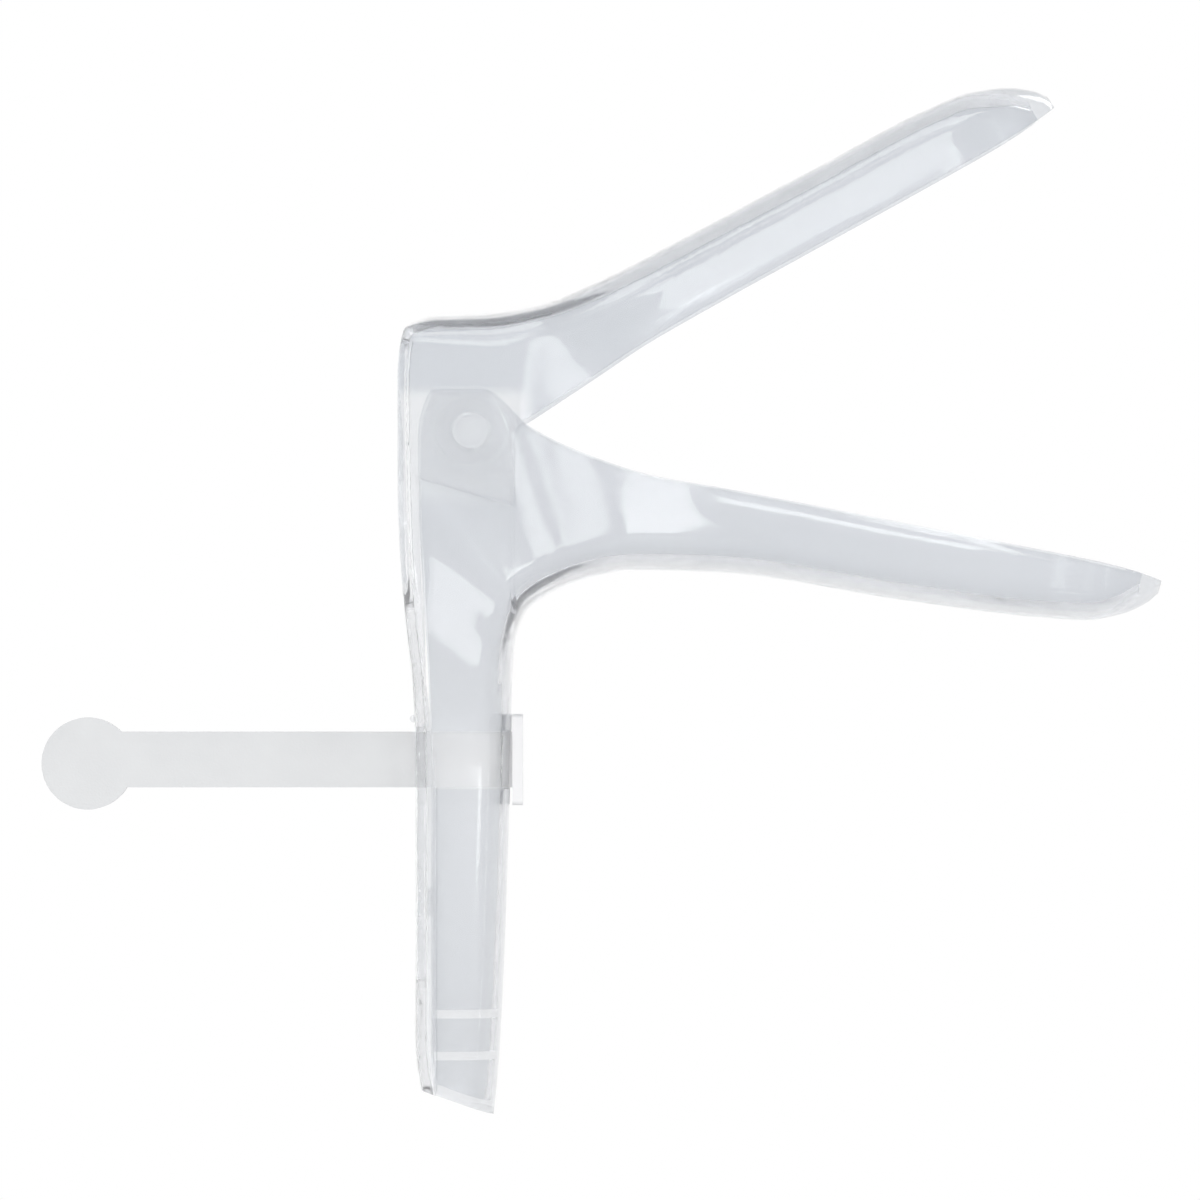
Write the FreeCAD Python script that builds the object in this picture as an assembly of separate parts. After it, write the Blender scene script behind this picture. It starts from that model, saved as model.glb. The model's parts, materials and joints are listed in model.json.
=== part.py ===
import FreeCAD, Part
import math
import os

# Bivalve speculum, single-use moulded type: three pieces.
# A lower blade that bends down into the handle, an upper blade whose yoke goes round the
# viewing aperture and down into the lever, and a flat bar on which the lever slides.
# Frame: origin at the middle of the hinge axis, +X towards the blade tips, +Z up.
# The model stands in the pose of the photograph: lever squeezed in, blades open.

Vec = FreeCAD.Vector
Y_AXIS = Vec(0, 1, 0)
# Length of a curve's handle that makes it a quarter circle, as a share of the radius
ROUND = 0.5523

# Walls and clearances, and how far a hollow is cut out past the rim
WALL = 1.8
HOLLOW_REACH = 6.8
BAR_PLAY = 0.3
HINGE_PLAY = 0.05
NEST_GAP = 0.4
HEAD_GAP = 0.3

# Opening of the blades
UPPER_ANGLE = 29.0
TRAVEL = 40.0
LOWER_ANGLE = UPPER_ANGLE - TRAVEL

# Blades
BLADE_HALF_WIDTH = 14.0
UPPER_LENGTH = 117.2
LOWER_LENGTH = 124.0
TIP_ROUNDING = 20.0
UPPER_EDGE = -1.0
LOWER_EDGE = 1.4
UPPER_DEPTH = 11.3
LOWER_DEPTH = 14.5
UPPER_TIP_DEPTH = 10.8
LOWER_TIP_DEPTH = 12.9
BLADE_CORNER = 5.5
BLADE_DOME = 1.2
BLADE_DRAFT = 0.6
TIP_POWER = 0.62
TIP_LIFT = 1.3
TIP_HALF_WIDTH = 3.4

# Shallow step inside each blade, along its rim
RIM_START = 46.0
RIM_BAND = 1.7
RIM_STEP = 0.45

# Ring round the viewing aperture
RING_HALF_WIDTH = 18.0
RING_TOP = 20.3
RING_FRONT = 13.1
RING_BACK = 7.5
CHEEK_TOP = 7.2
APERTURE_HALF_WIDTH = 15.4
APERTURE_TOP = 16.0
APERTURE_BOTTOM = -31.0
APERTURE_SHOULDER = 7.0
APERTURE_WAIST = -12.0

# Upright rib inside each cheek of the lower piece
CHEEK_RIB_BACK = 7.6
CHEEK_RIB_WIDTH = 0.8
CHEEK_RIB_PROUD = 0.5
CHEEK_RIB_TOP = 2.3
CHEEK_RIB_BOTTOM = 33.0

# Handle and lever
HANDLE_HALF_WIDTH = 9.6
HANDLE_BACK = 6.8
HANDLE_FLANGE = 7.0
LEVER_FRONT = 10.1
LEVER_FLANGE = 6.2
FOOT_SLOPE = 19.6
FOOT_FRONT = 114.3
CHANNEL_CORNER = 3.0
CHANNEL_DOME = 0.4

# Hinge
PIN_RADIUS = 3.15
PIN_PROUD = 0.9
BOSS_RADIUS = 6.0
BOSS_PROUD = 0.6

# Locking bar
BAR_HEIGHT = 9.7
BAR_THICKNESS = 4.0
BAR_DROP = 57.3
KNOB_RADIUS = 8.05
KNOB_REACH = 67.2
HEAD_HEIGHT = 15.8
HEAD_WIDTH = 12.0
HEAD_THICKNESS = 1.8
HEAD_CORNER = 0.8
SLOT_TOP = 51.5
SLOT_BOTTOM = 96.0
SLOT_CORNER = 1.0
CATCH_RADIUS = 0.7
CATCH_WIDTH = 9.0
GUIDE_TOP = 79.8
GUIDE_HEIGHT = 4.7
GUIDE_DEPTH = 1.7

# Pocket of two ribs in the foot of the handle
POCKET_TOP = 101.6
POCKET_BOTTOM = 108.9
RIB = 1.5
RIB_SETBACK = 0.4

YOKE_HALF_WIDTH = RING_HALF_WIDTH + NEST_GAP + WALL
LEVER_HALF_WIDTH = HANDLE_HALF_WIDTH + NEST_GAP + WALL


def station(edge, crown, half_width, corner=BLADE_CORNER, dome=BLADE_DOME, draft=0.0):
    """One cross-section of a trough: the middle of its open side, of its floor, and half its width.

    The draft is how much further out each leg stands at the open side."""
    return {"edge": Vec(edge[0], 0, edge[1]), "crown": Vec(crown[0], 0, crown[1]),
            "half": half_width, "corner": corner, "dome": dome, "draft": draft}


def outline(st, wall=0.0, reach=0.0):
    """Closed outline of a trough section, as the poles of its six sides.

    Up one leg, round a corner, over the floor, round the other corner, down the other leg and
    back across the rim. The inner outline is set in by the wall and runs out past the rim."""
    down = st["crown"] - st["edge"]
    dome = st["dome"]
    depth = down.Length - wall - dome
    down.normalize()
    half = st["half"] - wall
    radius = max(min(st["corner"], 0.45 * st["half"], 0.6 * depth) - wall, 0.3)
    flat = half - radius
    rise = 2.0 * dome / flat
    pull = ROUND * radius

    def at(side, along):
        return st["edge"] + down * along + Y_AXIS * side

    slope = st["draft"] / (depth - radius)
    leg = [at(-half - st["draft"] - reach * slope, -reach), at(-half, depth - radius)]
    corner = [leg[1], at(-half + pull * slope, depth - radius + pull),
              at(-flat - pull, depth - pull * rise), at(-flat, depth)]
    floor = [corner[3], at(-flat / 3, depth + dome / 0.75), at(flat / 3, depth + dome / 0.75), at(flat, depth)]

    def mirrored(poles):
        return [Vec(q.x, -q.y, q.z) for q in poles[::-1]]

    return [leg, corner, floor, mirrored(corner), mirrored(leg), [mirrored(leg)[1], leg[0]]]


def steady_slopes(values, steps):
    """Slopes of a curve through the values that never swings past them."""
    rates = [(b - a) / h for a, b, h in zip(values, values[1:], steps)]
    slopes = [rates[0]]
    for before, after, h0, h1 in zip(rates, rates[1:], steps, steps[1:]):
        if before * after <= 0:
            slopes.append(0.0)
        else:
            w0, w1 = 2 * h1 + h0, h1 + 2 * h0
            slopes.append((w0 + w1) / (w0 / before + w1 / after))
    return slopes + [rates[-1]]


def rail(points, steps):
    """Poles of a smooth cubic line through the points."""
    slopes = [steady_slopes([q[i] for q in points], steps) for i in range(3)]
    poles = [points[0]]
    for i, step in enumerate(steps):
        start = Vec(*[row[i] for row in slopes])
        end = Vec(*[row[i + 1] for row in slopes])
        poles += [points[i] + start * (step / 3), points[i + 1] - end * (step / 3)]
    return poles + [points[-1]]


def loft(stations, wall=0.0, reach=0.0):
    """Closed solid with a smooth skin over the sections."""
    rings = [outline(st, wall, reach) for st in stations]
    middles = [st["edge"] * 0.5 + st["crown"] * 0.5 for st in stations]
    steps = [(b - a).Length for a, b in zip(middles, middles[1:])]
    knots = [sum(steps[:i]) for i in range(len(stations))]
    mults = [4] + [2] * (len(steps) - 1) + [4]
    faces = []
    for side in range(len(rings[0])):
        degree = len(rings[0][side]) - 1
        poles = [rail([ring[side][k] for ring in rings], steps) for k in range(degree + 1)]
        skin = Part.BSplineSurface()
        skin.buildFromPolesMultsKnots(poles, [degree + 1] * 2, mults, [0, 1], knots, False, False, degree, 3)
        faces.append(skin.toShape())
    for end in (0, -1):
        rim = []
        for poles in rings[end]:
            curve = Part.BezierCurve()
            curve.setPoles(poles)
            rim.append(curve.toShape())
        faces.append(Part.Face(Part.Wire(rim)))
    skin = Part.makeShell(faces)
    skin.sewShape()
    solid = Part.makeSolid(skin)
    if solid.Volume < 0:
        solid.reverse()
    return solid


def on_blade(angle, side, along, out):
    """Point in the side view, from a distance along the blade and one out from its axis."""
    turn = math.radians(angle)
    return (along * math.cos(turn) - side * out * math.sin(turn),
            along * math.sin(turn) + side * out * math.cos(turn))


def blade_station(angle, side, along, edge, crown, half_width, draft=BLADE_DRAFT):
    return station(on_blade(angle, side, along, edge), on_blade(angle, side, along, crown), half_width,
                   draft=draft)


def tip_stations(angle, side, length, edge, depth, short):
    """The rounded bill: its floor and its sides close in together on the tip."""
    start = length - TIP_ROUNDING
    reach = TIP_ROUNDING - short
    result = []
    for t in (0.0, 0.4, 0.7, 0.88, 0.96):
        left = 1.0 - t * t
        lift = TIP_LIFT * t ** 3
        crown = edge + lift + (depth - edge) * left ** TIP_POWER
        half = max(BLADE_HALF_WIDTH * math.sqrt(left), TIP_HALF_WIDTH)
        result.append(blade_station(angle, side, start + t * reach, edge + lift, crown, half,
                                    BLADE_DRAFT * math.sqrt(left)))
    return result


def side_prism(points, half_width=40.0):
    """A solid cut out of the side view, as wide as the whole part."""
    corners = [Vec(x, -half_width, z) for x, z in points]
    face = Part.Face(Part.makePolygon(corners + corners[:1]))
    return face.extrude(Vec(0, 2 * half_width, 0))


def below_foot(raise_by=0.0):
    """All that lies under the slanted foot of the handle."""
    fall = math.tan(math.radians(FOOT_SLOPE))
    far = 60.0
    middle = -LEVER_FRONT
    lift = raise_by / math.cos(math.radians(FOOT_SLOPE))
    left = (middle - far, -FOOT_FRONT + far * fall + lift)
    right = (middle + far, -FOOT_FRONT - far * fall + lift)
    return side_prism([left, right, (right[0], -200), (left[0], -200)])


def trough(body, angle, side, length, edge, depth):
    """A piece that ends in a rounded bill: its outer solid, its hollow, and the shallow step along the rim."""
    outer = loft(body + tip_stations(angle, side, length, edge, depth, 0.0))
    inside = body + tip_stations(angle, side, length, edge, depth, 1.5 * WALL)[:-1]
    reach = HOLLOW_REACH
    inner = loft(inside, WALL, reach)
    end = length - TIP_ROUNDING
    band = side_prism([on_blade(angle, side, along, out) for along, out in (
        (RIM_START, edge + RIM_BAND), (end, edge + RIM_BAND), (end, edge - reach), (RIM_START, edge - reach))])
    straight = [st for st in inside if st["draft"] == BLADE_DRAFT]
    rim = loft(straight, WALL - RIM_STEP, reach).common(band)
    return outer, inner, rim


def box(x, y, z):
    """A block from its lowest and highest place along each axis."""
    return Part.makeBox(x[1] - x[0], y[1] - y[0], z[1] - z[0], Vec(x[0], y[0], z[0]))


def soft_box(x, y, z, radius, along=None):
    """A block with its edges rounded: all of them, or only those that run along one axis."""
    block = box(x, y, z)
    edges = block.Edges
    if along is not None:
        edges = [e for e in edges if abs(abs(e.tangentAt(e.FirstParameter).dot(along)) - 1.0) < 1e-6]
    return block.makeFillet(radius, edges)


def cross_cylinder(radius, half_length, x=0.0, z=0.0):
    return Part.makeCylinder(radius, 2 * half_length, Vec(x, -half_length, z), Y_AXIS)


def bar_passage(x):
    """Hole for the bar, with play all round it."""
    half = BAR_THICKNESS / 2 + BAR_PLAY
    tall = BAR_HEIGHT / 2 + BAR_PLAY
    return soft_box(x, (-half, half), (-BAR_DROP - tall, -BAR_DROP + tall), SLOT_CORNER, Vec(1, 0, 0))


def lower_blade():
    """Fixed piece: one trough that starts as the handle, turns under the ring and runs out as the blade."""
    w = RING_HALF_WIDTH
    h = HANDLE_HALF_WIDTH
    rim = -HANDLE_FLANGE
    body = [
        station((rim + 2.0, -124.0), (3.4, -124.0), h),
        station((rim, -108.0), (4.9, -108.0), h),
        station((rim, -80.0), (6.15, -80.0), h),
        station((rim, -58.0), (HANDLE_BACK, -58.0), h + 0.1),
        station((rim - 0.4, -44.0), (7.0, -48.0), h + 1.8),
        station((rim - 1.2, -30.0), (7.2, -41.0), h + 4.4),
        station((rim - 2.0, -14.0), (8.0, -35.0), w - 0.8),
        station((rim - 2.2, -1.0), (9.6, -31.4), w),
        station((rim + 0.6, CHEEK_TOP), (12.0, -29.3), w),
        station((2.0, CHEEK_TOP), (15.0, -27.6), w - 0.3),
        station((10.4, 0.6), (18.6, -26.1), w - 1.6),
        station((17.0, -2.8), (23.0, -24.9), 15.0),
        blade_station(LOWER_ANGLE, -1, 32.0, LOWER_EDGE + 0.2, 18.4, BLADE_HALF_WIDTH, BLADE_DRAFT / 2),
        blade_station(LOWER_ANGLE, -1, 46.0, LOWER_EDGE, 16.05, BLADE_HALF_WIDTH),
        blade_station(LOWER_ANGLE, -1, 80.0, LOWER_EDGE, LOWER_DEPTH, BLADE_HALF_WIDTH),
    ]
    outer, inner, step = trough(body, LOWER_ANGLE, -1, LOWER_LENGTH, LOWER_EDGE, LOWER_TIP_DEPTH)
    foot = below_foot()
    part = outer.cut(foot).cut(inner.cut(below_foot(WALL))).cut(step)
    upright = box((CHEEK_RIB_BACK - CHEEK_RIB_WIDTH, CHEEK_RIB_BACK), (-w, w),
                  (-CHEEK_RIB_BOTTOM, -CHEEK_RIB_TOP))
    part = part.fuse(outer.common(upright).cut(loft(body, WALL + CHEEK_RIB_PROUD, HOLLOW_REACH)))
    for level in (POCKET_TOP, POCKET_BOTTOM):
        slab = box((rim + RIB_SETBACK, 2 * RING_BACK), (-w, w), (-level - RIB / 2, -level + RIB / 2))
        part = part.fuse(outer.common(slab).cut(foot))
    part = part.cut(bar_passage((0.0, 2 * RING_BACK)))
    pin_end = YOKE_HALF_WIDTH + BOSS_PROUD + PIN_PROUD
    pins = cross_cylinder(PIN_RADIUS, pin_end)
    pins = pins.makeChamfer(PIN_PROUD / 2, [e for e in pins.Edges if e.Closed])
    pins = pins.cut(box((-w, w), (-w + WALL, w - WALL), (-w, w)))
    return part.fuse(pins).removeSplitter()


def aperture():
    """Opening in the front of the yoke, square-shouldered above and round below."""
    y, top, shoulder = APERTURE_HALF_WIDTH, APERTURE_TOP, APERTURE_SHOULDER
    bow = shoulder * (1.0 - math.sqrt(0.5))
    x, waist = -2 * RING_FRONT, APERTURE_WAIST
    a, b = Vec(x, -y, waist), Vec(x, -y, top - shoulder)
    c, d = Vec(x, -y + shoulder, top), Vec(x, y - shoulder, top)
    e, f = Vec(x, y, top - shoulder), Vec(x, y, waist)
    wire = Part.Wire([
        Part.LineSegment(a, b).toShape(),
        Part.Arc(b, Vec(x, -y + bow, top - bow), c).toShape(),
        Part.LineSegment(c, d).toShape(),
        Part.Arc(d, Vec(x, y - bow, top - bow), e).toShape(),
        Part.LineSegment(e, f).toShape(),
        Part.Arc(f, Vec(x, 0, APERTURE_BOTTOM), a).toShape(),
    ])
    return Part.Face(wire).extrude(Vec(1.2 * RING_FRONT, 0, 0))


def lever_trim():
    """What lies behind the lever's narrow flanges and under the cheeks, cut away in the side view."""
    back = 2 * RING_BACK
    return side_prism([
        (back, -15.0), (RING_BACK - 0.3, -12.9), (-9.2, -8.2), (-9.0, -14.0), (-8.2, -44.0),
        (-LEVER_FLANGE, -60.0), (-LEVER_FLANGE, -150.0), (back, -150.0),
    ])


def upper_blade():
    """Moving piece: the blade, the yoke round the aperture and the lever under it."""
    w = YOKE_HALF_WIDTH
    h = LEVER_HALF_WIDTH
    front = -RING_FRONT
    deep = RING_BACK
    body = [
        station((deep, -123.0), (-LEVER_FRONT + 2.6, -123.0), h, CHANNEL_CORNER, CHANNEL_DOME),
        station((deep, -106.0), (-LEVER_FRONT, -106.0), h, CHANNEL_CORNER, CHANNEL_DOME),
        station((deep, -80.0), (-LEVER_FRONT, -80.0), h, CHANNEL_CORNER, CHANNEL_DOME),
        station((deep, -56.0), (-LEVER_FRONT, -56.0), h + 0.1, CHANNEL_CORNER, CHANNEL_DOME),
        station((deep, -44.0), (front + 2.5, -44.0), h + 1.4, CHANNEL_CORNER, CHANNEL_DOME),
        station((deep, -34.0), (front + 1.3, -33.0), w - 4.2, CHANNEL_CORNER, CHANNEL_DOME),
        station((deep, -24.0), (front + 0.4, -22.0), w - 1.3, CHANNEL_CORNER, CHANNEL_DOME),
        station((deep, -15.0), (front, -11.0), w, CHANNEL_CORNER, CHANNEL_DOME),
        station((deep, -5.0), (front, 9.0), w, CHANNEL_CORNER, CHANNEL_DOME),
        station((deep - 0.2, -2.0), (front + 1.2, 17.8), w, CHANNEL_CORNER, CHANNEL_DOME),
        station((deep - 0.1, -0.5), (front + 6.5, RING_TOP), w, BLADE_CORNER),
        station((deep + 0.6, 0.8), (2.0, RING_TOP + 0.4), w, BLADE_CORNER),
        station((10.6, 2.4), (11.5, 22.2), w - 0.3),
        blade_station(UPPER_ANGLE, 1, 24.0, -2.0, 13.2, 17.9, 0.0),
        blade_station(UPPER_ANGLE, 1, 34.0, -1.2, 12.2, 14.9, BLADE_DRAFT / 2),
        blade_station(UPPER_ANGLE, 1, 44.0, UPPER_EDGE, 11.9, BLADE_HALF_WIDTH),
        blade_station(UPPER_ANGLE, 1, 76.0, UPPER_EDGE, UPPER_DEPTH, BLADE_HALF_WIDTH),
    ]
    outer, inner, step = trough(body, UPPER_ANGLE, 1, UPPER_LENGTH, UPPER_EDGE, UPPER_TIP_DEPTH)
    part = outer.cut(inner).cut(step)
    part = part.cut(lever_trim()).cut(below_foot()).cut(aperture())
    boss = cross_cylinder(BOSS_RADIUS, w + BOSS_PROUD)
    boss = boss.cut(box((-w, w), (-w + WALL, w - WALL), (-w, w)))
    part = part.fuse(boss).cut(cross_cylinder(PIN_RADIUS + HINGE_PLAY, 2 * w))
    half = BAR_THICKNESS / 2 + BAR_PLAY
    web = (-LEVER_FRONT - 2 * WALL, -LEVER_FLANGE + WALL)
    slot = soft_box(web, (-half, half), (-SLOT_BOTTOM, -SLOT_TOP), SLOT_CORNER, Vec(1, 0, 0))
    part = part.cut(slot)
    catch = cross_cylinder(CATCH_RADIUS, CATCH_WIDTH / 2, -LEVER_FRONT, -SLOT_TOP + 2 * CATCH_RADIUS)
    part = part.fuse(catch)
    inside = -LEVER_FRONT + WALL
    for side in (-1, 1):
        y = sorted((side * half, side * (half + RIB)))
        guide = box((inside - WALL / 2, inside + GUIDE_DEPTH), y, (-GUIDE_TOP - GUIDE_HEIGHT, -GUIDE_TOP))
        part = part.fuse(guide)
    return part.removeSplitter()


def locking_bar():
    """Flat bar: a round knob at the user's end, a head on the far side of the handle."""
    half = BAR_THICKNESS / 2
    head_start = HANDLE_BACK + HEAD_GAP
    head_end = head_start + HEAD_THICKNESS
    tall = BAR_HEIGHT / 2
    bar = box((-KNOB_REACH, head_start + HEAD_THICKNESS / 2), (-half, half), (-BAR_DROP - tall, -BAR_DROP + tall))
    knob = cross_cylinder(KNOB_RADIUS, half, -KNOB_REACH, -BAR_DROP - 0.7)
    part = bar.fuse(knob).removeSplitter()
    head = soft_box((head_start, head_end), (-HEAD_WIDTH / 2, HEAD_WIDTH / 2),
                    (-BAR_DROP - HEAD_HEIGHT / 2, -BAR_DROP + HEAD_HEIGHT / 2), HEAD_CORNER, Vec(1, 0, 0))
    return part.fuse(head).removeSplitter()


PIECES = {"upper_blade": upper_blade, "lower_blade": lower_blade, "locking_bar": locking_bar}

os.makedirs("parts", exist_ok=True)
for name, make in PIECES.items():
    piece = make()
    print(name, "valid", piece.isValid(), "solids", len(piece.Solids), "volume", round(piece.Volume, 1))
    piece.exportStep("parts/" + name + ".step")
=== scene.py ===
# %% [markdown]
# # Bivalve speculum: clear mouldings and a white bar
#
# The object is a single-use speculum. Two clear polystyrene mouldings turn on each other at a
# hinge, and a flat white bar holds them apart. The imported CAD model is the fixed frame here, and
# this script gives it the looks: true edges, a clear plastic with its faint flow, a satin white
# plastic, and a bright studio like the one in the photograph.
#
# All sizes are metres, +X runs towards the blade tips, +Z is up, and the hinge is at the origin.

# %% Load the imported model
import json
import math

import bpy
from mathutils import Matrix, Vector

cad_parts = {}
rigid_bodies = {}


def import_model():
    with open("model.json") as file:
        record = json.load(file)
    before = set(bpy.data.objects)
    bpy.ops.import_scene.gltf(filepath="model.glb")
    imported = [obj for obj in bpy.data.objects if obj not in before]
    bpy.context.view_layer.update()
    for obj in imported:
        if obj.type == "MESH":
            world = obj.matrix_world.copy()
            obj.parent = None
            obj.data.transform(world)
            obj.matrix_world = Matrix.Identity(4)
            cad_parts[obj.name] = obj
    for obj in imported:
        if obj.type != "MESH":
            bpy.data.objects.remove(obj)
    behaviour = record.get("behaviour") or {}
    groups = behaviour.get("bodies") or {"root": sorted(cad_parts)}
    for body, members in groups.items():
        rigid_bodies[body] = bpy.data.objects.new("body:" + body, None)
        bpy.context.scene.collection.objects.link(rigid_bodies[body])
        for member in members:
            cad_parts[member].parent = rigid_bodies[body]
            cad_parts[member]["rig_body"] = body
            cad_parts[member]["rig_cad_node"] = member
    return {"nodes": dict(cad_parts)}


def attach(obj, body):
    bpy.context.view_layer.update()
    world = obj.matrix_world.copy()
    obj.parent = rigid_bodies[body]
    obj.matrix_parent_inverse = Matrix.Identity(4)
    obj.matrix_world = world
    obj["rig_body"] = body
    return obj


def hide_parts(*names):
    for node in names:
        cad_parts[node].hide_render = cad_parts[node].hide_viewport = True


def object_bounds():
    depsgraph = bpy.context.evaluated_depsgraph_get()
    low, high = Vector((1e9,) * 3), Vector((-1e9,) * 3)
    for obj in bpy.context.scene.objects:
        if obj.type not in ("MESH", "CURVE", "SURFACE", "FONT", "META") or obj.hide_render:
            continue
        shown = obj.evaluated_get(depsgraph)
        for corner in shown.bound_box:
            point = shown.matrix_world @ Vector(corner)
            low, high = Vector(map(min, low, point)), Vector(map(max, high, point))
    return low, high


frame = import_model()
cad_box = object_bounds()
MM = 0.001

# %% [markdown]
# ## One seamless skin for each moulding
#
# Clear plastic shows every fault of its surface, because light bends once going in and once
# coming out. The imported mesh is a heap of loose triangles, which would shade as facets. So each
# node gets a copy whose shared corners are merged and whose gentle folds are shaded as one curve.
# Only real edges, such as the rims of the troughs, stay sharp. The node itself is left alone.

# %% Copy a node into a piece of its own
def nothing_selected():
    if bpy.context.mode != "OBJECT":
        bpy.ops.object.mode_set(mode="OBJECT")
    bpy.ops.object.select_all(action="DESELECT")


def pick(piece):
    nothing_selected()
    piece.select_set(True)
    bpy.context.view_layer.objects.active = piece


SAME_POINT = 0.002 * MM


def skin_of(node, name):
    """A merged copy of a CAD node: one closed skin that bends light cleanly."""
    pick(frame["nodes"][node])
    bpy.ops.object.duplicate(linked=False)
    piece = bpy.context.active_object
    piece.parent = None
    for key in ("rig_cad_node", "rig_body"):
        if key in piece:
            del piece[key]
    piece.name = piece.data.name = name
    pick(piece)
    bpy.ops.object.mode_set(mode="EDIT")
    bpy.ops.mesh.select_all(action="SELECT")
    bpy.ops.mesh.remove_doubles(threshold=SAME_POINT)
    bpy.ops.mesh.dissolve_degenerate(threshold=SAME_POINT)
    bpy.ops.object.mode_set(mode="OBJECT")
    piece.data.materials.clear()
    print(name, "corners", len(piece.data.vertices), "faces", len(piece.data.polygons))
    return piece


upper = skin_of("upper_blade", "clear_upper_blade")
lower = skin_of("lower_blade", "clear_lower_blade")
bar = skin_of("locking_bar", "white_locking_bar")

# %% [markdown]
# ## Crowned sides
#
# No moulded wall is dead flat: the long sides of the blades swell outwards by a fraction of a
# millimetre. It changes no size that matters, but it decides where the light runs, because a
# flat wall lights up all at once and a crowned one shows a band. Between the rim and the
# shoulder the flat stretch gets a few cuts by bisect. Each blade's side is described by a point
# on its rim, which way the rim runs, which way leads from the rim into the blade, and the first
# and last place along the rim, from that point, between which the side swells in full.

# %% Cut the flat sides into strips
SIDE_HEIGHT = 6.4 * MM
SIDE_CUTS = (0.3, 0.7, 1.2, 1.8, 2.5, 3.3, 4.1, 4.9, 5.7, 6.4)
SIDE_INSIDE = 10 * MM
END_FADE = 8 * MM


def cut_sides(piece, rim, run, into, first, last):
    """Cut a blade's two sides along its rim, at each height of SIDE_CUTS in millimetres."""
    for cut in SIDE_CUTS:
        pick(piece)
        for face in piece.data.polygons:
            way = face.center - rim
            beside = first - END_FADE < way.dot(run) < last + END_FADE
            near_rim = -MM < way.dot(into) < SIDE_HEIGHT + MM
            face.select = beside and near_rim and abs(face.center.y) > SIDE_INSIDE
        bpy.ops.object.mode_set(mode="EDIT")
        bpy.ops.mesh.bisect(plane_co=rim + into * cut * MM, plane_no=into)
        bpy.ops.object.mode_set(mode="OBJECT")
    print(piece.name, "faces after the cuts", len(piece.data.polygons))


UPPER_SIDE = {
    "rim": Vector((39.9, 0, 21.35)) * MM,
    "run": Vector((0.881, 0, 0.472)),
    "into": Vector((-0.472, 0, 0.881)),
    "first": -4 * MM,
    "last": 42 * MM,
}
LOWER_SIDE = {
    "rim": Vector((39.9, 0, -9.45)) * MM,
    "run": Vector((0.980, 0, -0.200)),
    "into": Vector((-0.200, 0, -0.980)),
    "first": 6 * MM,
    "last": 52 * MM,
}
cut_sides(upper, **UPPER_SIDE)
cut_sides(lower, **LOWER_SIDE)

# %% [markdown]
# The corners between the cuts then move out on a soft curve. It rises quickly from the rim, is
# highest a third of the way in, and meets the shoulder without a fold. FULL_SWELL is what makes
# its highest place equal to SIDE_SWELL. Along the blade it fades out at both ends.

# %% Swell the sides
SIDE_SWELL = 0.18 * MM
FULL_SWELL = 27 / 4


def soft_step(value, start, end):
    share = min(1.0, max(0.0, (value - start) / (end - start)))
    return share * share * (3 - 2 * share)


def swell_sides(piece, rim, run, into, first, last):
    """Move the sides of a blade out by up to SIDE_SWELL."""
    moved = 0
    for corner in piece.data.vertices:
        way = corner.co - rim
        share = way.dot(into) / SIDE_HEIGHT
        if abs(corner.co.y) < SIDE_INSIDE or not 0 < share < 1:
            continue
        length = way.dot(run)
        ends = soft_step(length, first - END_FADE, first)
        ends *= soft_step(length, last + END_FADE, last)
        swell = FULL_SWELL * share * (1 - share) ** 2
        corner.co.y += math.copysign(SIDE_SWELL * swell * ends, corner.co.y)
        moved += ends > 0
    print(piece.name, "corners moved", moved)


swell_sides(upper, **UPPER_SIDE)
swell_sides(lower, **LOWER_SIDE)

# %% [markdown]
# ## Eased edges
#
# A moulded edge is never a knife edge. The mould's corners are eased by a fraction of a
# millimetre, and that narrow round is what catches the light along every rim. A Bevel modifier
# that is limited to sharp folds puts it in, and Weighted Normal lets the broad walls decide how
# the light runs over them, so a flat disc stays flat right up to its eased edge.

# %% Ease the sharp edges
TRUE_EDGE = math.radians(38)
CLEAR_EDGE = 0.22 * MM
BAR_EDGE = 0.45 * MM


def ease_edges(piece, width, segments=2):
    pick(piece)
    bevel = piece.modifiers.new("eased edge", "BEVEL")
    bevel.limit_method = "ANGLE"
    bevel.angle_limit = TRUE_EDGE
    bevel.width = width
    bevel.segments = segments
    bevel.use_clamp_overlap = True
    bevel.miter_outer = "MITER_ARC"
    bpy.ops.object.modifier_apply(modifier=bevel.name)
    bpy.ops.object.shade_smooth_by_angle(angle=TRUE_EDGE)
    even = piece.modifiers.new("even walls", "WEIGHTED_NORMAL")
    even.mode = "FACE_AREA_WITH_ANGLE"
    even.keep_sharp = True
    bpy.ops.object.modifier_apply(modifier=even.name)
    print(piece.name, "faces after easing", len(piece.data.polygons))


ease_edges(upper, CLEAR_EDGE)
ease_edges(lower, CLEAR_EDGE)
ease_edges(bar, BAR_EDGE, segments=3)

# %% [markdown]
# ## Which piece moves with what
#
# Each skin stands for its CAD node and rides on the same body, so it opens, closes and slides
# as the real piece does.

# %% Put the skins on their bodies
for piece, node, finish in (
    (upper, "upper_blade", "clear_upper"),
    (lower, "lower_blade", "clear_lower"),
    (bar, "locking_bar", "white_bar"),
):
    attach(piece, node)
    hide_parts(node)
    print(piece.name, "rides on", node)

# %% [markdown]
# ## Helpers for the finishes
#
# Every finish is drawn from the piece's own place in metres, so it sticks to the piece when the
# blades close. Noise gives the soft unevenness of moulded plastic, and a blend between two
# places along an axis lets one colour pass into another.

# %% Make a material and its noise
def new_material(name):
    material = bpy.data.materials.new(name)
    material.use_nodes = True
    nodes = material.node_tree.nodes
    shader = nodes["Principled BSDF"]
    place = nodes.new("ShaderNodeTexCoord")
    return material, material.node_tree, shader, place


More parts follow.
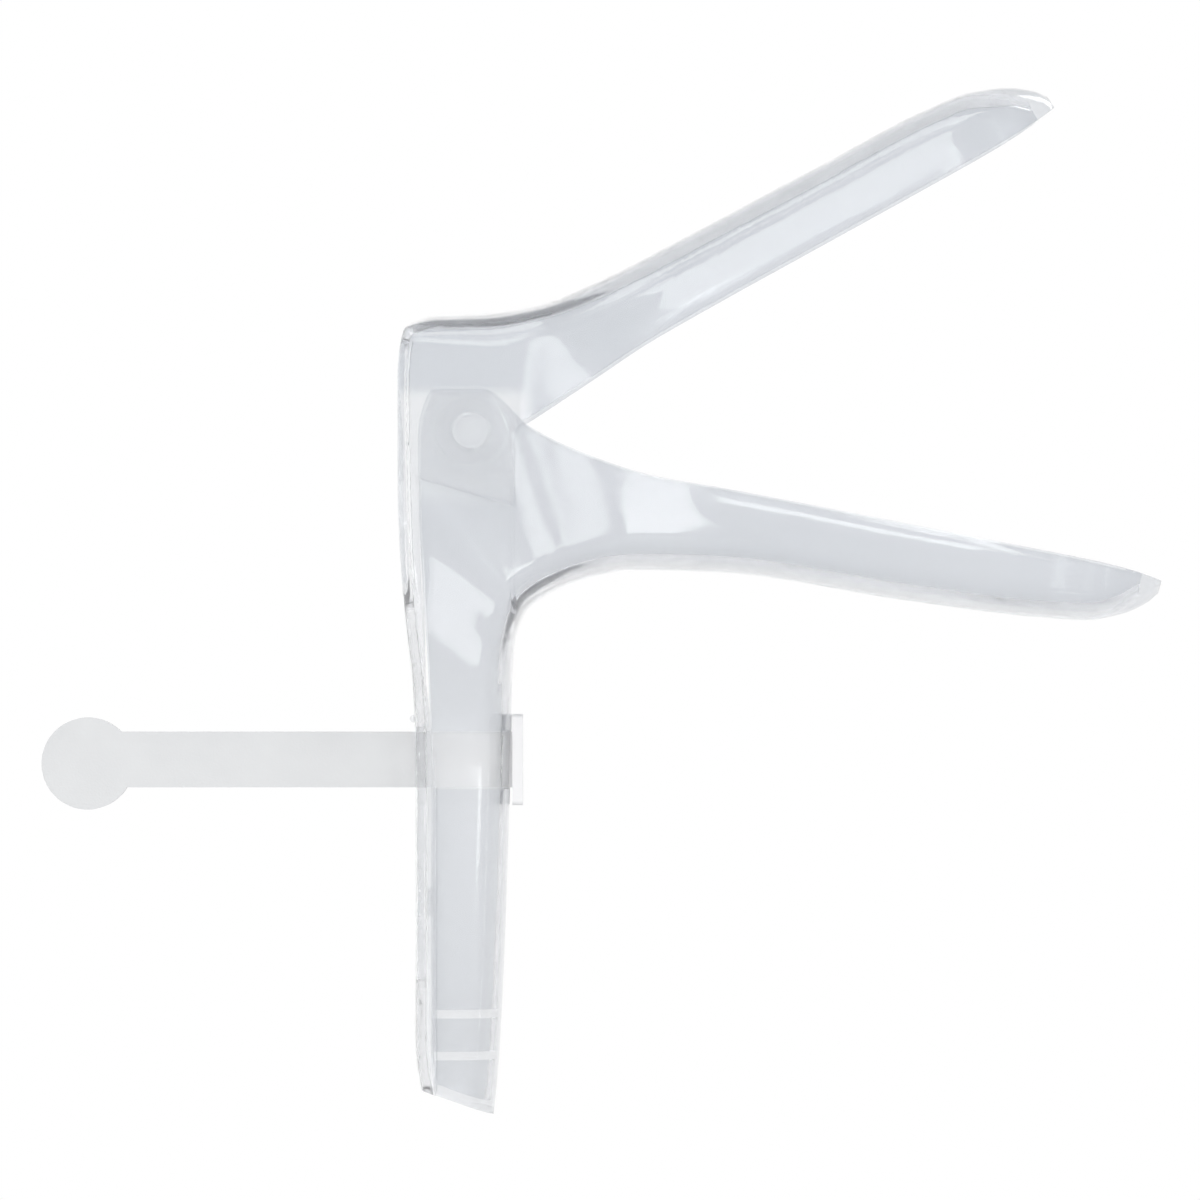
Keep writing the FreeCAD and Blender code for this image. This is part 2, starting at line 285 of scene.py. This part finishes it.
def noise(tree, place, scale, detail=2.0, stretch=None):
    """Procedural noise in the piece's own metres."""
    source = place.outputs["Object"]
    if stretch:
        mapping = tree.nodes.new("ShaderNodeMapping")
        mapping.inputs["Scale"].default_value = stretch
        tree.links.new(source, mapping.inputs["Vector"])
        source = mapping.outputs["Vector"]
    texture = tree.nodes.new("ShaderNodeTexNoise")
    texture.inputs["Scale"].default_value = scale
    texture.inputs["Detail"].default_value = detail
    tree.links.new(source, texture.inputs["Vector"])
    return texture.outputs["Fac"]


print("helpers", new_material.__name__, noise.__name__)

# %% Blend colours and raise a bump
RAMP_LOW = 0.3
RAMP_HIGH = 0.7


def along(tree, place, axis, start, end):
    """0 at one place along an axis and 1 at another, with a smooth change between them."""
    split = tree.nodes.new("ShaderNodeSeparateXYZ")
    tree.links.new(place.outputs["Object"], split.inputs[0])
    span = tree.nodes.new("ShaderNodeMapRange")
    span.interpolation_type = "SMOOTHSTEP"
    span.inputs["From Min"].default_value = start
    span.inputs["From Max"].default_value = end
    tree.links.new(split.outputs[axis], span.inputs["Value"])
    return span.outputs["Result"]


def ramp(tree, source, low, high):
    """Two colours or two greys, between which the source blends."""
    node = tree.nodes.new("ShaderNodeValToRGB")
    node.color_ramp.elements[0].position = RAMP_LOW
    node.color_ramp.elements[1].position = RAMP_HIGH
    node.color_ramp.elements[0].color = (*low, 1.0)
    node.color_ramp.elements[1].color = (*high, 1.0)
    tree.links.new(source, node.inputs["Fac"])
    return node.outputs["Color"]


def blend(tree, factor, first, second):
    """The first colour where the factor is 0 and the second where it is 1."""
    node = tree.nodes.new("ShaderNodeMix")
    node.data_type = "RGBA"
    for value, socket in ((factor, "Factor"), (first, "A"), (second, "B")):
        if isinstance(value, tuple):
            node.inputs[socket].default_value = (*value, 1.0)
        else:
            tree.links.new(value, node.inputs[socket])
    return node.outputs["Result"]


def bump(tree, source, shader, depth):
    node = tree.nodes.new("ShaderNodeBump")
    node.inputs["Strength"].default_value = 1.0
    node.inputs["Distance"].default_value = depth
    tree.links.new(source, node.inputs["Height"])
    tree.links.new(node.outputs["Normal"], shader.inputs["Normal"])


print("colours blend between", RAMP_LOW, "and", RAMP_HIGH, "of the noise")

# %% [markdown]
# ## Clear polystyrene
#
# The blades are clear with a breath of blue-grey, and the mouldings show soft waves where the
# melt flowed round the ring. A Principled shader with high transmission lets the ground through,
# and its base colour is the tint of one wall. Light that runs along inside a wall would turn its
# edges black, and the photograph shows them pale grey, so the wall bends light only a little and
# scatters a small share of it as a trace of haze. The polish of the mould is a coat on top, and
# it makes the glints. Large soft noise drives the tint and a very shallow bump, so highlights
# wander a little, as they do in the photograph.

# %% Build the clear plastic
CLEARNESS = 0.84
WALL_ROUGHNESS = 0.03
WALL_BENDING = 1.10
POLISH = 1.0
POLISH_ROUGHNESS = 0.09
POLISH_BENDING = 1.38
TINT_DRIFT = 0.008
FLOW_SCALE = 28.0
FLOW_STRETCH = (1.0, 2.4, 1.0)
WAVE_SCALE = 45.0
WAVE_STRETCH = (0.6, 1.6, 1.0)
WAVE_DEPTH = 0.12 * MM


def clear_plastic(name, tint, painted_lights):
    """Tinted clear plastic, whose tint is painted paler in a few patches with soft sides: painted
    light where walls overlap.
    """
    material, tree, shader, place = new_material(name)
    shader.inputs["Transmission Weight"].default_value = CLEARNESS
    shader.inputs["Roughness"].default_value = WALL_ROUGHNESS
    shader.inputs["IOR"].default_value = WALL_BENDING
    shader.inputs["Coat Weight"].default_value = POLISH
    shader.inputs["Coat Roughness"].default_value = POLISH_ROUGHNESS
    shader.inputs["Coat IOR"].default_value = POLISH_BENDING
    low = tuple(channel - TINT_DRIFT for channel in tint)
    high = tuple(channel + TINT_DRIFT for channel in tint)
    flow = noise(tree, place, FLOW_SCALE, detail=1.0, stretch=FLOW_STRETCH)
    colour = ramp(tree, flow, low, high)
    # Painted light: each patch blends the tint towards a paler one, to offset the darkening where
    # walls overlap or shade the bar.
    for painted_light_tint, first_side, second_side in painted_lights:
        inside = tree.nodes.new("ShaderNodeMath")
        inside.operation = "MULTIPLY"
        for number, (axis, start, end) in enumerate((first_side, second_side)):
            side = along(tree, place, axis, start * MM, end * MM)
            tree.links.new(side, inside.inputs[number])
        colour = blend(tree, inside.outputs[0], colour, painted_light_tint)
    tree.links.new(colour, shader.inputs["Base Color"])
    waves = noise(tree, place, WAVE_SCALE, detail=1.0, stretch=WAVE_STRETCH)
    bump(tree, waves, shader, WAVE_DEPTH)
    print(name, "nodes", len(tree.nodes))
    return material


# %% [markdown]
# Where the lever lies over the handle there are up to four walls one behind the other, and at
# the hinge the cheeks of both mouldings overlap; where the bar shows through the handle, the walls
# shade it too. These places would render darker, so the tint is painted paler in these patches:
# painted light that offsets the darkening. Each patch has a colour and two sides: an axis, where
# the patch starts and where it is full, in millimetres.

# %% Give both mouldings their tint and its painted light
UPPER_TINT = (0.828, 0.845, 0.868)
LOWER_TINT = (0.834, 0.849, 0.871)
# Painted light: these patches paint the tint paler where overlapping walls would render darker.
LEVER_PAINTED_LIGHT = ((0.935, 0.942, 0.952), ("Z", 8.5, 5.5), ("X", 12, 7))
HANDLE_PAINTED_LIGHT = ((0.86, 0.872, 0.89), ("Z", 0, -60), ("X", 40, 38))
CHEEK_PAINTED_LIGHT = ((0.880, 0.893, 0.910), ("X", 9, 6), ("Z", -14, -9))
WINDOW_PAINTED_LIGHT = ((0.935, 0.94, 0.945), ("Z", -62.7, -62.0), ("Z", -52.1, -52.8))
LOWER_PAINTED_LIGHTS = (HANDLE_PAINTED_LIGHT, CHEEK_PAINTED_LIGHT, WINDOW_PAINTED_LIGHT)
upper.data.materials.append(
    clear_plastic("clear_polystyrene_upper", UPPER_TINT, (LEVER_PAINTED_LIGHT,)))
lower.data.materials.append(
    clear_plastic("clear_polystyrene_lower", LOWER_TINT, LOWER_PAINTED_LIGHTS))
print("tinted", upper.name, "and", lower.name)

# %% [markdown]
# ## White bar
#
# The bar is an opaque white plastic with a satin surface. Under the light it has a faint
# mottle, and its surface has the fine texture of an eroded mould. Inside the handle the clear
# walls shade the bar, so towards the head its colour is painted whiter: painted light against that
# shade.

# %% Build the satin white plastic
BODY_WHITE = ((0.72, 0.73, 0.735), (0.76, 0.77, 0.773))
# Painted light: the whiter colour for the part inside the handle offsets the shade of the clear
# walls.
BAR_PAINTED_LIGHT_WHITE = ((0.94, 0.94, 0.945), (0.97, 0.97, 0.975))
PAINTED_LIGHT_FROM = -14 * MM
PAINTED_LIGHT_TO = -6 * MM
MOTTLE_SCALE = 90.0
SATIN_ROUGHNESS = ((0.36,) * 3, (0.46,) * 3)
SATIN_SCALE = 400.0
GRAIN_SCALE = 2600.0
GRAIN_DEPTH = 0.02 * MM
BAR_BENDING = 1.5


def white_plastic(name):
    material, tree, shader, place = new_material(name)
    mottle = noise(tree, place, MOTTLE_SCALE, detail=3.0)
    body = ramp(tree, mottle, *BODY_WHITE)
    painted_light_white = ramp(tree, mottle, *BAR_PAINTED_LIGHT_WHITE)
    # Painted light: along X the bar's colour passes into a whiter white that offsets the shade of
    # the clear walls.
    painted_light_share = along(tree, place, "X", PAINTED_LIGHT_FROM, PAINTED_LIGHT_TO)
    tree.links.new(blend(tree, painted_light_share, body, painted_light_white), shader.inputs["Base Color"])
    shader.inputs["IOR"].default_value = BAR_BENDING
    satin = ramp(tree, noise(tree, place, SATIN_SCALE), *SATIN_ROUGHNESS)
    tree.links.new(satin, shader.inputs["Roughness"])
    bump(tree, noise(tree, place, GRAIN_SCALE), shader, GRAIN_DEPTH)
    print(name, "nodes", len(tree.nodes))
    return material


bar.data.materials.append(white_plastic("satin_white_plastic"))

# %% [markdown]
# ## Studio
#
# The photograph has a pure white ground. The camera sees the floor and the world white, and rays
# that leave glossy or clear surfaces see a bright room too, while the soft light on the object
# stays plain. The floor is a pale matt sheet below the object that keeps the object's shadow.

# %% Find the rays that see the ground
def seen_rays(tree):
    """1 for rays from the camera and from glossy or clear surfaces, and 0 for soft light."""
    light_path = tree.nodes.new("ShaderNodeLightPath")
    total = light_path.outputs["Is Camera Ray"]
    for kind in ("Is Glossy Ray", "Is Transmission Ray"):
        join = tree.nodes.new("ShaderNodeMath")
        join.operation = "MAXIMUM"
        tree.links.new(total, join.inputs[0])
        tree.links.new(light_path.outputs[kind], join.inputs[1])
        total = join.outputs[0]
    return total, light_path


print("helper", seen_rays.__name__)

# %% Make the floor
FLOOR_PLACE = (0.02, 0.0, -0.170)
FLOOR_SIDE = 0.9
nothing_selected()
bpy.ops.mesh.primitive_plane_add(size=FLOOR_SIDE, location=FLOOR_PLACE)
floor = bpy.context.active_object
floor.name = "studio_floor"
print("floor at", FLOOR_PLACE)

# %% Paint the floor
FLOOR_MATT = 0.62
FLOOR_GLOW = 0.45
floor_paint = bpy.data.materials.new("pale_floor")
floor_paint.use_nodes = True
tree = floor_paint.node_tree
tree.nodes.clear()
matt = tree.nodes.new("ShaderNodeBsdfDiffuse")
matt.inputs["Color"].default_value = (FLOOR_MATT, FLOOR_MATT, FLOOR_MATT, 1)
glow = tree.nodes.new("ShaderNodeEmission")
seen, _ = seen_rays(tree)
soften = tree.nodes.new("ShaderNodeMath")
soften.operation = "MULTIPLY"
soften.inputs[1].default_value = FLOOR_GLOW
tree.links.new(seen, soften.inputs[0])
tree.links.new(soften.outputs[0], glow.inputs["Strength"])
both = tree.nodes.new("ShaderNodeAddShader")
tree.links.new(matt.outputs[0], both.inputs[0])
tree.links.new(glow.outputs[0], both.inputs[1])
out = tree.nodes.new("ShaderNodeOutputMaterial")
tree.links.new(both.outputs[0], out.inputs["Surface"])
floor.data.materials.append(floor_paint)
print("floor nodes", len(tree.nodes))

# %% [markdown]
# The room that the clear and glossy surfaces see is white all round at the height of the object,
# and greyer overhead and below. A clear wall that curves away from the camera shows that grey,
# and so it keeps a soft outline on the white ground. The soft light is a plain grey, which keeps
# colours as they are written.

# %% Wrap the room round the object
WHITE = (1.0, 1.0, 1.0)
GREY_START = 0.10
GREY_FULL = 0.60
ROOM_GREY = (0.60, 0.61, 0.63)
SOFT_LIGHT = (0.62, 0.62, 0.63)
world = bpy.data.worlds.new("white_studio")
bpy.context.scene.world = world
world.use_nodes = True
tree = world.node_tree
tree.nodes.clear()
direction = tree.nodes.new("ShaderNodeTexCoord")
split = tree.nodes.new("ShaderNodeSeparateXYZ")
tree.links.new(direction.outputs["Generated"], split.inputs[0])
height = tree.nodes.new("ShaderNodeMath")
height.operation = "ABSOLUTE"
tree.links.new(split.outputs["Z"], height.inputs[0])
fade = tree.nodes.new("ShaderNodeValToRGB")
fade.color_ramp.interpolation = "EASE"
fade.color_ramp.elements[0].position = GREY_START
fade.color_ramp.elements[0].color = (*WHITE, 1)
fade.color_ramp.elements[1].position = GREY_FULL
fade.color_ramp.elements[1].color = (*ROOM_GREY, 1)
tree.links.new(height.outputs[0], fade.inputs["Fac"])
print("room grey", ROOM_GREY)

# %% Choose what each ray sees
seen, light_path = seen_rays(tree)
mirrored = blend(tree, seen, SOFT_LIGHT, fade.outputs["Color"])
ground = blend(tree, light_path.outputs["Is Camera Ray"], mirrored, WHITE)
backdrop = tree.nodes.new("ShaderNodeBackground")
tree.links.new(ground, backdrop.inputs["Color"])
out = tree.nodes.new("ShaderNodeOutputWorld")
tree.links.new(backdrop.outputs[0], out.inputs["Surface"])
print("world nodes", len(tree.nodes))

# %% [markdown]
# ## Lamps
#
# Polished walls act as mirrors, so a softbox hangs where a bright patch of the photograph asks
# for it: the camera's line is mirrored in the wall at the patch, and the lamp goes on the
# mirrored line. The front softbox makes the long band of the upper blade. The low one, close to
# the object, makes the line along the rim of the lower blade. The one at the right lights the
# root of the blades, and a very small one lights the scoop below the hinge. The rest give soft
# light from above, from the left, along the right side and from behind. Each lamp has its place,
# what it points at, its width and height, and its power in watts.

# %% Hang the lamps
def softbox(name, place, aim, size, power):
    data = bpy.data.lights.new(name, "AREA")
    data.shape = "RECTANGLE"
    data.size, data.size_y = size
    data.energy = power
    lamp = bpy.data.objects.new(name, data)
    bpy.context.scene.collection.objects.link(lamp)
    lamp.location = place
    lamp.visible_camera = False
    lamp.rotation_euler = (aim - lamp.location).to_track_quat("-Z", "Y").to_euler()


MIDDLE = (cad_box[0] + cad_box[1]) / 2
LOWER_BAND = Vector((0.055, 0.0, -0.02))
SCOOP = Vector((0.0, -0.015, -0.035))
SOFTBOXES = {
    "overhead_softbox": ((-0.15, -0.25, 0.85), MIDDLE, (0.5, 0.35), 2.0),
    "left_softbox": ((-0.75, -1.20, 0.35), MIDDLE, (0.4, 0.5), 1.0),
    "front_softbox": ((-0.12, -1.363, 0.58), MIDDLE, (0.36, 0.72), 2.4),
    "low_front_softbox": ((0.062, -0.60, -0.064), LOWER_BAND, (0.116, 0.063), 0.115),
    "right_softbox": ((0.58, -1.38, 0.14), MIDDLE, (0.75, 0.24), 1.7),
    "side_strip": ((1.20, -0.60, -0.20), MIDDLE, (0.08, 0.8), 0.8),
    "far_softbox": ((0.55, 0.75, 0.65), MIDDLE, (0.5, 0.5), 1.8),
    "scoop_softbox": ((-0.08, -0.155, -0.12), SCOOP, (0.07, 0.05), 0.035),
}
for name, (place, aim, size, power) in SOFTBOXES.items():
    softbox(name, place, aim, size, power)
print("lamps", sorted(SOFTBOXES))

# %% [markdown]
# ## Camera
#
# The photograph is a side view through a long lens: the far walls stand exactly behind the near
# ones. One pixel of it is 0.175 mm at the hinge, and the hinge sits at pixel (472, 432) of 1200.

# %% Place the camera
PIXEL = 0.175 * MM
HINGE_PIXEL = (472, 432)
PHOTO_SIDE = 1200
DISTANCE = 2.0
SENSOR = 36.0
NEAREST = 0.05
FARTHEST = 20.0
camera_data = bpy.data.cameras.new("photo_camera")
camera = bpy.data.objects.new("photo_camera", camera_data)
bpy.context.scene.collection.objects.link(camera)
camera.location = (
    (PHOTO_SIDE / 2 - HINGE_PIXEL[0]) * PIXEL,
    -DISTANCE,
    (HINGE_PIXEL[1] - PHOTO_SIDE / 2) * PIXEL,
)
camera.rotation_euler = (math.radians(90), 0, 0)
camera_data.sensor_width = SENSOR
camera_data.lens = SENSOR * DISTANCE / (PHOTO_SIDE * PIXEL)
camera_data.clip_start, camera_data.clip_end = NEAREST, FARTHEST
bpy.context.scene.camera = camera
bpy.context.scene.view_settings.view_transform = "Standard"
print("lens", round(camera_data.lens, 1), "mm")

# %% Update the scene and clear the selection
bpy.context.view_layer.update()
nothing_selected()
